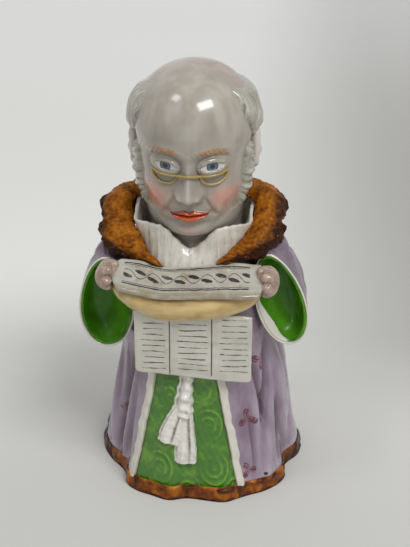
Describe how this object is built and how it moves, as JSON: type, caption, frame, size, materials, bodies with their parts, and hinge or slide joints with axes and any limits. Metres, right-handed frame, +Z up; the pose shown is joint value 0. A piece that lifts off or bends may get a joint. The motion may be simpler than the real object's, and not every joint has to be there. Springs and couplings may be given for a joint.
{
  "type": "figural tobacco jar",
  "caption": "Glazed porcelain tobacco jar shaped as a standing reader in a dressing gown holding a newspaper; the head lifts off as the lid.",
  "frame": {"origin": "middle of the footprint's bounding box, on the surface that the foot stands on", "axes": "+Z up, from the foot to the crown of the head; the figure faces -Y; +X is to the figure's left hand"},
  "size_m": [0.1338, 0.127, 0.2499],
  "materials": {
    "lilac_glaze": "gloss",
    "green_glaze": "gloss",
    "brown_glaze": "gloss",
    "white_glaze": "gloss",
    "ochre_glaze": "gloss",
    "flesh_glaze": "gloss",
    "grey_glaze": "gloss",
    "gilt_glaze": "gloss"
  },
  "bodies": {
    "jar": {"jar_shell": "lilac_glaze", "under_robe": "green_glaze", "hem_trim": "brown_glaze", "fur_collar": "brown_glaze", "shirt": "white_glaze", "newspaper_leaf": "white_glaze", "newspaper_fold": "ochre_glaze", "newspaper_page": "white_glaze", "right_border": "white_glaze", "right_sleeve": "lilac_glaze", "right_sleeve_lining": "green_glaze", "right_hand": "flesh_glaze", "left_border": "white_glaze", "left_sleeve": "lilac_glaze", "left_sleeve_lining": "green_glaze", "left_hand": "flesh_glaze", "sash_knot": "white_glaze", "sash_short_tail": "white_glaze", "sash_long_tail": "white_glaze"},
    "head_lid": {"head_shell": "flesh_glaze", "hair_fringe": "grey_glaze", "spectacles": "gilt_glaze", "right_ear": "flesh_glaze", "right_whiskers": "grey_glaze", "left_ear": "flesh_glaze", "left_whiskers": "grey_glaze"}
  },
  "joints": [
    {"name": "lid_lift", "type": "slide", "parent": "jar", "child": "head_lid", "axis": [0, 0, 1], "range_m": [0, 0.09]}
  ]
}
